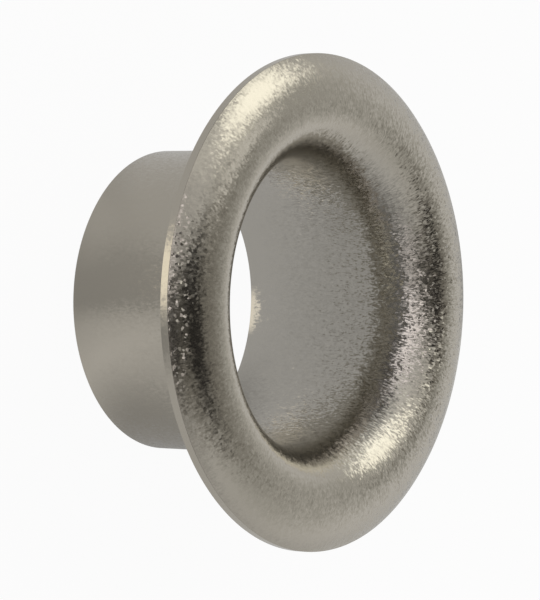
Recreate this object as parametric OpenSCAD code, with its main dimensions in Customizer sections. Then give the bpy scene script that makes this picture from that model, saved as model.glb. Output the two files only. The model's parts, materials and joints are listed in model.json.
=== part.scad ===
// Air vent grommet: one piece of drawn sheet metal, a round barrel that turns out into a domed flange.
// It stands on the barrel's free end with its axis along +Z. The origin is the centre of that end.
// All sizes are in millimetres. A radius of a bend is that of the face that shows from the front.

/* [Flange] */
// Overall diameter of the flange
flange_d = 20; // [18:0.1:24]
// Diameter of the crest, the highest circle of the domed flange
crest_d = 15.6; // [14.6:0.1:17.4]
// Height of the dome, from the top of the rim's edge to the crest
dome_h = 0.95; // [0.5:0.05:1.5]
// Height of the trimmed edge that runs round the rim
edge_h = 0.35; // [0.2:0.05:0.5]

/* [Throat] */
// Radius of the tight bend just inside the crest
lip_r = 1.4; // [0.8:0.05:1.9]
// Radius of the easy bend that runs on from it into the barrel
throat_r = 3.025; // [2.4:0.025:6]

/* [Barrel] */
// Outside diameter of the barrel, which passes through the panel's hole
barrel_d = 12.3; // [11:0.1:13.3]
// Reach of the barrel behind the flange's seat
barrel_reach = 7.6; // [5:0.1:15]
// Size of the edge break on the outer corner of the barrel's free end
end_break = 0.1; // [0.05:0.01:0.14]

/* [Sheet] */
// Thickness of the sheet
sheet_t = 0.4; // [0.3:0.05:0.6]

/* [Hidden] */
// Segments of a full circle in the preview
$fn = 180;

flange_r = flange_d / 2;
crest_r = crest_d / 2;
barrel_r = barrel_d / 2;
bore_r = barrel_r - sheet_t;

// The panel bears on the flange's seat, at the foot of the trimmed edge.
seat_z = barrel_reach;
crest_z = seat_z + edge_h + dome_h;

// The dome is the arc that leaves the crest level and drops by the dome's height at the rim.
overhang = flange_r - crest_r;
dome_r = (pow(overhang, 2) + pow(dome_h, 2)) / (2 * dome_h);

// The easy bend ends upright at the bore and meets the tight bend on the line through both centres.
lip_centre_z = crest_z - lip_r;
centres_apart = throat_r - lip_r;
centres_x = bore_r + throat_r - crest_r;
centres_z = sqrt(pow(centres_apart, 2) - pow(centres_x, 2));
// Height at which the straight barrel begins to turn out
barrel_top_z = lip_centre_z - centres_z;
// Direction from both centres to the place where the bends meet, as an angle from the radial direction
join_angle = 180 - acos(centres_x / centres_apart);

// One bend of the sheet in section: the half of a ring above or below the X axis.
module bend(face_r, above) {
    intersection() {
        difference() {
            circle(r = face_r);
            circle(r = face_r - sheet_t);
        }
        translate([-face_r, above ? 0 : -face_r]) square([2 * face_r, face_r]);
    }
}

// The domed flange from its crest to the rim, trimmed parallel to the axis and faced off flat below.
module dome_section() {
    intersection() {
        translate([crest_r, crest_z - dome_r]) difference() {
            circle(r = dome_r);
            circle(r = dome_r - sheet_t);
        }
        translate([crest_r, seat_z]) square([overhang, crest_z - seat_z]);
    }
}

// The throat: the tight bend of the lip from the crest, then the easy bend down to the barrel.
// They are drawn on either side of the line that they meet on, turned together to its true direction,
// and trimmed at the crest and at the top of the barrel.
module throat_section() {
    intersection() {
        translate([crest_r, lip_centre_z]) rotate(join_angle) {
            bend(lip_r, above = false);
            translate([-centres_apart, 0]) bend(throat_r, above = true);
        }
        translate([0, barrel_top_z]) square([crest_r, crest_z]);
    }
}

// The straight barrel wall. Its free end is left sharp inside and broken outside.
module barrel_section() {
    polygon([
        [bore_r, 0],
        [barrel_r - end_break, 0],
        [barrel_r, end_break],
        [barrel_r, barrel_top_z],
        [bore_r, barrel_top_z]
    ]);
}

// The whole grommet: the sheet's section turned once round the axis, in satin nickel plate.
module grommet() {
    color([0.60, 0.58, 0.55]) rotate_extrude() {
        dome_section();
        throat_section();
        barrel_section();
    }
}

grommet();
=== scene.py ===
"""An air vent grommet in satin nickel plate, dressed for a studio picture. Lengths are in metres."""

import json
import math

import bpy
from mathutils import Matrix, Vector


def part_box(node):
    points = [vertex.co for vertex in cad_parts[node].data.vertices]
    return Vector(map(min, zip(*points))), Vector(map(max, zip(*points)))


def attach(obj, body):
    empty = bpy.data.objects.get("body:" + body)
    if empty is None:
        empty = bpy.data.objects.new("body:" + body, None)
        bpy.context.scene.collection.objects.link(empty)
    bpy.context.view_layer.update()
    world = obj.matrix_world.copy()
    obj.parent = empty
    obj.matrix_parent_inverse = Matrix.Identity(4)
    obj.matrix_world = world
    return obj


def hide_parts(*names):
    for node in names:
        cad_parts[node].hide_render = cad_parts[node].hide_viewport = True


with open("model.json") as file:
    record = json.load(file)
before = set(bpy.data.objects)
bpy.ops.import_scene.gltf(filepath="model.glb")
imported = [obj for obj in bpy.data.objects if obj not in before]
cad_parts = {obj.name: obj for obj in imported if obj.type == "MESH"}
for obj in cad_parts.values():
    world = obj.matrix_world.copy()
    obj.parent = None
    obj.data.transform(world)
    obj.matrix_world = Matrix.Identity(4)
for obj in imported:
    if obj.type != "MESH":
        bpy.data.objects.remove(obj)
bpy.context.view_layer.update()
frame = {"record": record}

# The drawn sheet
# One disc of sheet metal 0.4 mm thick, drawn into a barrel and turned out into a domed flange.
# Its section is turned round the axis here, and its edges are softened as tumbling leaves them.
# The frame gives the main sizes, and the others repeat those of the part's source.
MM = 0.001
highest_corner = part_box("grommet")[1]
mounts = {mount["name"]: mount for mount in frame["record"]["mounts"]}
flange_radius = highest_corner.x
crest_height = highest_corner.z
seat_height = mounts["flange_seat"]["pos_m"][2]
barrel_radius = mounts["barrel"]["dims"]["r_mm"] * MM
bore_radius = mounts["vent_bore"]["dims"]["r_mm"] * MM
sheet = barrel_radius - bore_radius
crest_radius = 7.8 * MM
edge_height = 0.35 * MM
lip_radius = 1.4 * MM
throat_radius = 3.025 * MM
end_break = 0.1 * MM
edge_softness = 0.015 * MM
ironed_reach = 6.9 * MM
ring_spacing = 0.17 * MM
segments = 540


def arc(centre, radius, start, end):
    """Points of a bend in the section, from one direction to another in degrees from the radial one."""
    steps = max(4, round(abs(math.radians(end - start)) * radius / ring_spacing))
    points = []
    for step in range(steps + 1):
        angle = math.radians(start + (end - start) * step / steps)
        points.append((centre[0] + radius * math.cos(angle), centre[1] + radius * math.sin(angle)))
    return points


def wall(start, end):
    """Points of a straight stretch of the section, both ends among them."""
    steps = max(1, round(math.dist(start, end) / ring_spacing))
    return [
        tuple(a + (b - a) * step / steps for a, b in zip(start, end))
        for step in range(steps + 1)
    ]


overhang = flange_radius - crest_radius
dome_height = crest_height - seat_height - edge_height
dome_radius = (overhang**2 + dome_height**2) / (2 * dome_height)
dome_centre = (crest_radius, crest_height - dome_radius)
rim_angle = math.degrees(math.acos(overhang / dome_radius))
under_dome_radius = dome_radius - sheet
seat_angle = math.degrees(math.asin((seat_height - dome_centre[1]) / under_dome_radius))
lip_centre = (crest_radius, crest_height - lip_radius)
between_bends = throat_radius - lip_radius
throat_centre_radius = bore_radius + throat_radius
join_angle = 180 - math.degrees(math.acos((throat_centre_radius - crest_radius) / between_bends))
throat_drop = between_bends * math.sin(math.radians(join_angle))
throat_centre = (throat_centre_radius, lip_centre[1] - throat_drop)
barrel_top = throat_centre[1]

section = [
    (barrel_radius - end_break, 0),
    *wall((barrel_radius, end_break), (barrel_radius, barrel_top)),
    *arc(throat_centre, throat_radius - sheet, 180, join_angle)[1:],
    *arc(lip_centre, lip_radius - sheet, join_angle, 90)[1:],
    *arc(dome_centre, under_dome_radius, 90, seat_angle)[1:],
    *wall((flange_radius, seat_height), (flange_radius, seat_height + edge_height)),
    *arc(dome_centre, dome_radius, rim_angle, 90)[1:],
    *arc(lip_centre, lip_radius, 90, join_angle)[1:],
    *arc(throat_centre, throat_radius, join_angle, 180)[1:],
    *wall((bore_radius, barrel_top), (bore_radius, 0))[1:],
]
drawn_lengths = [0.0]
for start, end in zip(section, section[1:]):
    drawn_lengths.append(drawn_lengths[-1] + math.dist(start, end))
turned_points = []
turned_faces = []
for turn in range(segments):
    angle = math.tau * turn / segments
    for radius, height in section:
        turned_points.append((radius * math.cos(angle), radius * math.sin(angle), height))
    following = (turn + 1) % segments
    for ring in range(len(section)):
        next_ring = (ring + 1) % len(section)
        turned_faces.append((
            turn * len(section) + ring,
            following * len(section) + ring,
            following * len(section) + next_ring,
            turn * len(section) + next_ring,
        ))
sheet_mesh = bpy.data.meshes.new("drawn_sheet")
sheet_mesh.from_pydata(turned_points, [], turned_faces)
sheet_mesh.shade_smooth()

# The drawn length is measured along the section, and the strokes of the coat are stretched along it.
# It starts and ends on the face that the grommet stands on, where its jump back to 0 can't be seen.
drawn_length = sheet_mesh.attributes.new("drawn_length", "FLOAT", "POINT")
for number, length in enumerate(drawn_lengths * segments):
    drawn_length.data[number].value = length / MM

# The bore and the start of the throat are taken as ironed by the drawing punch, which evens their grain.
# They are also a little paler, a painted brightening of these hollows.
ironed = sheet_mesh.attributes.new("ironed", "FLOAT", "POINT")
for vertex in sheet_mesh.vertices:
    radius = math.hypot(vertex.co.x, vertex.co.y)
    past_bend = math.dist((radius, vertex.co.z), throat_centre)
    on_bore = vertex.co.z <= barrel_top and radius < bore_radius + 0.5 * sheet
    on_throat = vertex.co.z > barrel_top and past_bend > throat_radius - 0.5 * sheet
    fade = min(max((ironed_reach - radius) / (ironed_reach - bore_radius), 0.0), 1.0)
    ironed.data[vertex.index].value = fade if on_bore or on_throat else 0.0
drawn_sheet = bpy.data.objects.new("drawn_sheet", sheet_mesh)
bpy.context.scene.collection.objects.link(drawn_sheet)
softened = drawn_sheet.modifiers.new("tumbled edges", "BEVEL")
softened.width = edge_softness
softened.segments = 3
softened.limit_method = "ANGLE"
softened.angle_limit = math.radians(30)
softened.harden_normals = True


def linear(hex_colour):
    """The linear RGBA of an sRGB hex colour such as #97938B."""
    channels = [int(hex_colour[place:place + 2], 16) / 255 for place in (1, 3, 5)]
    return (*(c / 12.92 if c <= 0.04045 else ((c + 0.055) / 1.055) ** 2.4 for c in channels), 1.0)


def add_node(tree, kind, inputs=None, **settings):
    """Adds a node with its settings. An input takes a value or the output of another node."""
    node = tree.nodes.new(kind)
    for name, value in settings.items():
        setattr(node, name, value)
    for name, value in (inputs or {}).items():
        if isinstance(value, bpy.types.NodeSocket):
            tree.links.new(value, node.inputs[name])
        else:
            node.inputs[name].default_value = value
    return node


# Satin nickel plate: a thin electroplated coat over drawn sheet that was tumbled matt first. The eye
# sees a soft warm grey metal under a fine grain of short strokes, drawn out the way the sheet was
# drawn, with round pebbles between them and sharp glints along the near rim and on the far side.
nickel = bpy.data.materials.new("satin nickel plate")
nickel.use_nodes = True
tree = nickel.node_tree
tree.nodes.clear()
place = add_node(tree, "ShaderNodeTexCoord").outputs["Object"]
per_mm = (1 / MM, 1 / MM, 1 / MM)
place_mm = add_node(tree, "ShaderNodeVectorMath", {0: place, 1: per_mm}, operation="MULTIPLY").outputs[0]
across_mm = add_node(tree, "ShaderNodeSeparateXYZ", {0: place_mm}).outputs["Y"]
height_mm = add_node(tree, "ShaderNodeSeparateXYZ", {0: place_mm}).outputs["Z"]
outward = add_node(tree, "ShaderNodeVectorMath", {0: place_mm, 1: (1, 1, 0)}, operation="MULTIPLY").outputs[0]
radius_mm = add_node(tree, "ShaderNodeVectorMath", {0: outward}, operation="LENGTH").outputs["Value"]
heading = add_node(tree, "ShaderNodeVectorMath", {0: outward}, operation="NORMALIZE").outputs[0]
length_mm = add_node(tree, "ShaderNodeAttribute", attribute_name="drawn_length").outputs["Fac"]
ironing_and_brightening = add_node(tree, "ShaderNodeAttribute", attribute_name="ironed").outputs["Fac"]


def facets(vector, cell, tilt, share=1.0):
    """Flat grains of the coat, of which a share are tilted, each its own way. The cell is in millimetres."""
    grains = add_node(tree, "ShaderNodeTexVoronoi", {"Vector": vector, "Scale": 1 / cell}).outputs["Color"]
    lot = add_node(tree, "ShaderNodeSeparateXYZ", {0: grains}).outputs["Z"]
    chosen = add_node(tree, "ShaderNodeMath", {0: lot, 1: share}, operation="LESS_THAN").outputs[0]
    width = add_node(tree, "ShaderNodeMath", {0: chosen, 1: tilt}, operation="MULTIPLY").outputs[0]
    centred = add_node(
        tree, "ShaderNodeVectorMath", {0: grains, 1: (0.5, 0.5, 0.5)}, operation="SUBTRACT",
    ).outputs[0]
    return add_node(tree, "ShaderNodeVectorMath", {0: centred, "Scale": width}, operation="SCALE").outputs[0]


# The strokes are cells 0.05 mm wide near the crest and nearly three times as long. Some real ones are
# finer, but a pixel of the picture is 0.04 mm. They lean more towards +Y, where the picture's grain is
# stronger, evenly where the punch ironed the metal, and a little more again down the barrel.
stroke_width = 0.05
stroke_shortening = 0.36
stroke_circle = 8.0
shortened = add_node(
    tree, "ShaderNodeMath", {0: length_mm, 1: stroke_shortening}, operation="MULTIPLY",
).outputs[0]
shortened = add_node(tree, "ShaderNodeCombineXYZ", {"Z": shortened}).outputs[0]
drawn_mm = add_node(
    tree, "ShaderNodeVectorMath",
    {0: heading, 1: (stroke_circle, stroke_circle, 0), 2: shortened}, operation="MULTIPLY_ADD",
).outputs[0]
side_lean = add_node(
    tree, "ShaderNodeMapRange",
    {"Value": across_mm, "From Min": -3.0, "From Max": 5.0, "To Min": 0.07, "To Max": 0.24},
    interpolation_type="SMOOTHSTEP",
).outputs[0]
stroke_lean = add_node(
    tree, "ShaderNodeMapRange", {"Value": ironing_and_brightening, "To Min": side_lean, "To Max": 0.15},
).outputs[0]
barrel_lean = add_node(
    tree, "ShaderNodeMapRange",
    {"Value": height_mm, "From Min": 7.5, "From Max": 6.5, "To Min": 0.0, "To Max": 0.08},
).outputs[0]
stroke_lean = add_node(tree, "ShaderNodeMath", {0: stroke_lean, 1: barrel_lean}, operation="ADD").outputs[0]
strokes = facets(drawn_mm, stroke_width, stroke_lean)

# The pebbles and glints are cells 0.10 mm across, and a quarter of them can glint. The trimmed edge of
# the rim is sheared clean, so it has hardly any.
pebble_size = 0.10
pebble_tilt = 0.085
glint_share = 0.25
off_edge = add_node(
    tree, "ShaderNodeMapRange",
    {"Value": radius_mm, "From Min": 9.93, "From Max": 9.98, "To Min": 1.0, "To Max": 0.15},
).outputs[0]
pebble_lean = add_node(tree, "ShaderNodeMath", {0: off_edge, 1: pebble_tilt}, operation="MULTIPLY").outputs[0]
pebbles = facets(place_mm, pebble_size, pebble_lean)
rim_glints = add_node(
    tree, "ShaderNodeMapRange",
    {"Value": across_mm, "From Min": -9.7, "From Max": -8.9, "To Min": 0.62, "To Max": 0.0},
    interpolation_type="SMOOTHSTEP",
).outputs[0]
streak_glints = add_node(
    tree, "ShaderNodeMapRange",
    {"Value": across_mm, "From Min": 4.0, "From Max": 7.0, "To Min": 0.0, "To Max": 0.30},
    interpolation_type="SMOOTHSTEP",
).outputs[0]
glint_lean = add_node(tree, "ShaderNodeMath", {0: rim_glints, 1: streak_glints}, operation="ADD").outputs[0]
glint_lean = add_node(tree, "ShaderNodeMath", {0: glint_lean, 1: off_edge}, operation="MULTIPLY").outputs[0]
glints = facets(place_mm, pebble_size, glint_lean, glint_share)

# Drawing leaves the sheet a little uneven, in swells 1.6 mm across and up to 0.012 mm high.
swell_size = 1.6
swell_height = 0.012 * MM
swell = add_node(
    tree, "ShaderNodeTexNoise", {"Vector": place_mm, "Scale": 1 / swell_size, "Detail": 2.0},
).outputs["Fac"]
uneven = add_node(tree, "ShaderNodeBump", {"Height": swell, "Strength": 1.0, "Distance": swell_height})
leaning = uneven.outputs[0]
for kind in (strokes, pebbles, glints):
    leaning = add_node(tree, "ShaderNodeVectorMath", {0: leaning, 1: kind}, operation="ADD").outputs[0]
leaning = add_node(tree, "ShaderNodeVectorMath", {0: leaning}, operation="NORMALIZE").outputs[0]

# The plate is a warm grey. It is painted paler where the metal under it is taken as ironed, a painted
# brightening of the bore and the throat.
tint = add_node(
    tree, "ShaderNodeMix",
    {"Factor": ironing_and_brightening, 6: linear("#BAB4A8"), 7: linear("#CDC9C0")}, data_type="RGBA",
).outputs[2]
coat = add_node(
    tree, "ShaderNodeBsdfPrincipled",
    {"Base Color": tint, "Metallic": 1.0, "Roughness": 0.22, "Normal": leaning},
)
add_node(tree, "ShaderNodeOutputMaterial", {"Surface": coat.outputs[0]})
sheet_mesh.materials.append(nickel)
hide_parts("grommet")
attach(drawn_sheet, "root")

# The camera
# It stands 150 mm from the crest and looks across the axis at the domed side, turned so that the
# barrel points to the left of the picture.
camera_distance = 149.93 * MM
aim_left = 2.856 * MM
aim_up = 0.123 * MM
sight_from_axis = math.radians(53.126)
roll = math.radians(91.12)
focal_length = 225.02
camera = bpy.data.objects.new("camera", bpy.data.cameras.new("camera"))
bpy.context.scene.collection.objects.link(camera)
bpy.context.scene.camera = camera
camera.data.lens = focal_length
camera.data.sensor_width = 36.0
camera_turn = Matrix.Rotation(sight_from_axis, 3, "X") @ Matrix.Rotation(roll, 3, "Z")
picture_right, picture_up, backward = (camera_turn.col[axis].copy() for axis in range(3))
crest_centre = Vector((0, 0, crest_height))
camera_at = crest_centre - aim_left * picture_right + aim_up * picture_up + camera_distance * backward
camera.matrix_world = Matrix.Translation(camera_at) @ camera_turn.to_4x4()
camera.data.clip_start = 0.001
camera.data.clip_end = 10


# The studio
# A sheet of white paper is the floor of a light tent. The tent has a strip light beside the camera, a
# softbox at the upper right of the picture and a dark opening before the flange. The camera sees plain
# white. Only the metal sees the tones of the floor and the tent, which were matched to the reflections
# in the picture: the floor's one by one, and most of the tent's by a least-squares fit, rounded here.
floor_mesh = bpy.data.meshes.new("floor")
floor_reach = 1500 * MM
floor_mesh.from_pydata(
    [(-floor_reach, -floor_reach, 0), (floor_reach, -floor_reach, 0),
     (floor_reach, floor_reach, 0), (-floor_reach, floor_reach, 0)],
    [], [(0, 1, 2, 3)],
)
floor = bpy.data.objects.new("floor", floor_mesh)
bpy.context.scene.collection.objects.link(floor)
paper = bpy.data.materials.new("white paper")
paper.use_nodes = True
tree = paper.node_tree
tree.nodes.clear()
place = add_node(tree, "ShaderNodeTexCoord").outputs["Object"]
place_mm = add_node(tree, "ShaderNodeVectorMath", {0: place, 1: per_mm}, operation="MULTIPLY").outputs[0]


def spot(x, y, wide, deep, soft):
    """1 within an oval part of the floor and 0 outside it. Its centre and half sizes are in millimetres."""
    off_centre = add_node(
        tree, "ShaderNodeVectorMath", {0: place_mm, 1: (x, y, 0)}, operation="SUBTRACT",
    ).outputs[0]
    scaled = add_node(
        tree, "ShaderNodeVectorMath", {0: off_centre, 1: (1 / wide, 1 / deep, 1)}, operation="MULTIPLY",
    ).outputs[0]
    reach = add_node(tree, "ShaderNodeVectorMath", {0: scaled}, operation="LENGTH").outputs["Value"]
    return add_node(
        tree, "ShaderNodeMapRange",
        {"Value": reach, "From Min": 1 + soft, "From Max": 1 - soft, "To Min": 0.0, "To Max": 1.0},
        interpolation_type="SMOOTHSTEP",
    ).outputs[0]


# The tones that the metal mirrors are painted light and shade on the paper. They run in bands across the
# picture, from its top at -X to its bottom at +X, with painted ovals of light and shade over them and
# painted shade on the paper in the bore.
band_reach = 8.0
levels = ((-6.5, 0.64), (-3.5, 0.47), (0.3, 0.44), (1.4, 0.65), (3.5, 0.79), (5.2, 0.72), (7.2, 0.66))
along_x = add_node(tree, "ShaderNodeSeparateXYZ", {0: place_mm}).outputs["X"]
along_y = add_node(tree, "ShaderNodeSeparateXYZ", {0: place_mm}).outputs["Y"]
bands = add_node(
    tree, "ShaderNodeMapRange",
    {"Value": along_x, "From Min": -band_reach, "From Max": band_reach, "To Min": 0.0, "To Max": 1.0},
).outputs[0]
strip = add_node(tree, "ShaderNodeValToRGB", {"Fac": bands})
stops = strip.color_ramp.elements
while len(stops) < len(levels):
    stops.new(0.5)
for stop, (x, level) in zip(stops, levels):
    stop.position = (x + band_reach) / (2 * band_reach)
for stop, (x, level) in zip(strip.color_ramp.elements, levels):
    stop.color = (level, level, level, 1)
# Painted shade on the paper inside the barrel, darker towards -Y.
painted_bore_shade = add_node(
    tree, "ShaderNodeMapRange",
    {"Value": along_y, "From Min": -2.0, "From Max": 4.5, "To Min": 0.42, "To Max": 0.52},
).outputs[0]
painted_floor_tone = strip.outputs["Color"]
for cover, level in (
    (spot(7.8, -0.7, 4.5, 5.5, 0.5), (0.42, 0.42, 0.42, 1)),  # shade below the grommet in the picture
    (spot(-4.0, -5.6, 1.8, 1.8, 0.9), (0.62, 0.62, 0.62, 1)),  # painted light in front of the barrel
    (spot(0, 0, 6, 6, 0.02), painted_bore_shade),  # painted shade on the paper inside the barrel
    (spot(3.1, 3.1, 1.5, 1.4, 0.8), (0.33, 0.33, 0.33, 1)),  # a shaded place on it
    (spot(-3.2, -20, 4.3, 4.5, 0.4), (1.75, 1.66, 1.45, 1)),  # a painted pool of warm light, which the trimmed edge mirrors
    (spot(4.4, -19, 2.8, 4.5, 0.9), (0.34, 0.34, 0.34, 1)),  # painted shade beside it
    (spot(0.4, 5.55, 0.8, 0.25, 0.4), (1.15, 1.09, 0.98, 1)),  # a gleam at the far end of the bore
):
    painted_floor_tone = add_node(tree, "ShaderNodeMix", {"Factor": cover, 6: painted_floor_tone, 7: level}, data_type="RGBA").outputs[2]

# The camera sees the paper white, with a twentieth part left for the grommet's shadow.
white_share = 0.95
mirrored_share = 0.9
sheet_white = add_node(tree, "ShaderNodeBsdfDiffuse", {"Color": linear("#F4F4F4")})
painted_mirror_tone = add_node(tree, "ShaderNodeEmission", {"Color": painted_floor_tone, "Strength": 1.0})
glow = add_node(tree, "ShaderNodeEmission", {"Color": (1, 1, 1, 1), "Strength": 1.0})
ray = add_node(tree, "ShaderNodeLightPath")
in_metal = add_node(
    tree, "ShaderNodeMath", {0: ray.outputs["Is Glossy Ray"], 1: mirrored_share}, operation="MULTIPLY",
)
seen = add_node(
    tree, "ShaderNodeMath", {0: ray.outputs["Is Camera Ray"], 1: ray.outputs["Is Transmission Ray"]},
    operation="MAXIMUM",
)
shown = add_node(tree, "ShaderNodeMath", {0: seen.outputs[0], 1: white_share}, operation="MULTIPLY")
lit = add_node(
    tree, "ShaderNodeMixShader", {0: in_metal.outputs[0], 1: sheet_white.outputs[0], 2: painted_mirror_tone.outputs[0]},
)
mixed = add_node(
    tree, "ShaderNodeMixShader", {0: shown.outputs[0], 1: lit.outputs[0], 2: glow.outputs[0]},
)
add_node(tree, "ShaderNodeOutputMaterial", {"Surface": mixed.outputs[0]})
floor_mesh.materials.append(paper)

tent = bpy.data.worlds.new("light tent")
bpy.context.scene.world = tent
tent.use_nodes = True
tree = tent.node_tree
tree.nodes.clear()
direction = add_node(tree, "ShaderNodeTexCoord").outputs["Generated"]


def toward(azimuth, elevation):
    """The direction so many degrees to the right of the camera and above it, as seen from the object."""
    right, up = math.radians(azimuth), math.radians(elevation)
    level = math.cos(up)
    return (picture_right * math.sin(right) + backward * math.cos(right)) * level + picture_up * math.sin(up)


def patch(azimuth, elevation, wide, high, turn, soft):
    """1 within an oval part of the tent and 0 outside it. Its half sizes and its turn are in degrees."""
    centre = toward(azimuth, elevation)
    lean = Matrix.Rotation(math.radians(turn), 3, centre)
    up = lean @ toward(azimuth, elevation + 90)
    side = up.cross(centre)
    scaled_side = side / math.tan(math.radians(wide))
    scaled_up = up / math.tan(math.radians(high))
    across = add_node(tree, "ShaderNodeVectorMath", {0: direction, 1: scaled_side}, operation="DOT_PRODUCT")
    along = add_node(tree, "ShaderNodeVectorMath", {0: direction, 1: scaled_up}, operation="DOT_PRODUCT")
    ahead = add_node(tree, "ShaderNodeVectorMath", {0: direction, 1: centre}, operation="DOT_PRODUCT")
    both = add_node(tree, "ShaderNodeCombineXYZ", {0: across.outputs["Value"], 1: along.outputs["Value"]})
    length = add_node(tree, "ShaderNodeVectorMath", {0: both.outputs[0]}, operation="LENGTH")
    depth = add_node(tree, "ShaderNodeMath", {0: ahead.outputs["Value"], 1: 0.01}, operation="MAXIMUM")
    reach = add_node(
        tree, "ShaderNodeMath", {0: length.outputs["Value"], 1: depth.outputs[0]}, operation="DIVIDE",
    )
    return add_node(
        tree, "ShaderNodeMapRange",
        {"Value": reach.outputs[0], "From Min": 1 + soft, "From Max": 1 - soft, "To Min": 0.0, "To Max": 1.0},
        interpolation_type="SMOOTHSTEP",
    ).outputs[0]


# The cloth of the tent is dim on the left of the picture and bright on the right. The cloth and all the
# patches but the small card between the main lights are the fitted ones.
toward_right = add_node(
    tree, "ShaderNodeVectorMath", {0: direction, 1: picture_right}, operation="DOT_PRODUCT",
).outputs["Value"]
cloth = add_node(
    tree, "ShaderNodeMapRange",
    {"Value": toward_right, "From Min": -0.16, "From Max": 1.04, "To Min": 0.122, "To Max": 1.04},
).outputs[0]
tent_light = cloth
for cover, level in (
    (patch(-17.3, 73.5, 13, 49.1, 0, 0.2), (0.004, 0.004, 0.004, 1)),  # a black card at the top
    (patch(4.3, 6.6, 8.9, 46.2, 0, 0.98), (1.58, 1.51, 1.57, 1)),  # the strip light beside the camera
    (patch(90.1, 11.2, 56.6, 28.4, -95, 1), (0.426, 0.426, 0.409, 1)),  # a grey fold on the right
    (patch(80.6, 17.7, 10.9, 5.5, 0, 0.67), (1.3, 1.3, 1.28, 1)),  # a small lamp in it
    (patch(36, 46, 14, 8, 0, 0.8), (0.86, 0.86, 0.84, 1)),  # a small card between the main lights
    (patch(84.8, 47.5, 18.9, 15.7, 20, 0.5), (2.04, 2.04, 1.9, 1)),  # the softbox at the upper right
    (patch(46.5, -10.7, 47, 25.6, 13, 0.52), (0.246, 0.237, 0.218, 1)),  # the opening by the flange
    (patch(21.2, -12.6, 9.4, 15.6, 0, 0.6), (0.0076, 0.00702, 0.00709, 1)),  # the dark room in it
    (patch(50.3, -5.7, 14.3, 23.4, 41, 0.45), (0.0079, 0.00683, 0.00683, 1)),  # more of the dark room
):
    tent_light = add_node(
        tree, "ShaderNodeMix", {"Factor": cover, 6: tent_light, 7: level}, data_type="RGBA",
    ).outputs[2]

# The camera sees the tent white. The metal mirrors the lights and the cloth above instead.
ray = add_node(tree, "ShaderNodeLightPath")
seen = add_node(
    tree, "ShaderNodeMath", {0: ray.outputs["Is Camera Ray"], 1: ray.outputs["Is Transmission Ray"]},
    operation="MAXIMUM",
)
shown = add_node(
    tree, "ShaderNodeMix", {"Factor": seen.outputs[0], 6: tent_light, 7: (1, 1, 1, 1)}, data_type="RGBA",
).outputs[2]
background = add_node(tree, "ShaderNodeBackground", {"Color": shown, "Strength": 1.0})
add_node(tree, "ShaderNodeOutputWorld", {"Surface": background.outputs[0]})

bpy.context.scene.view_settings.view_transform = "Standard"
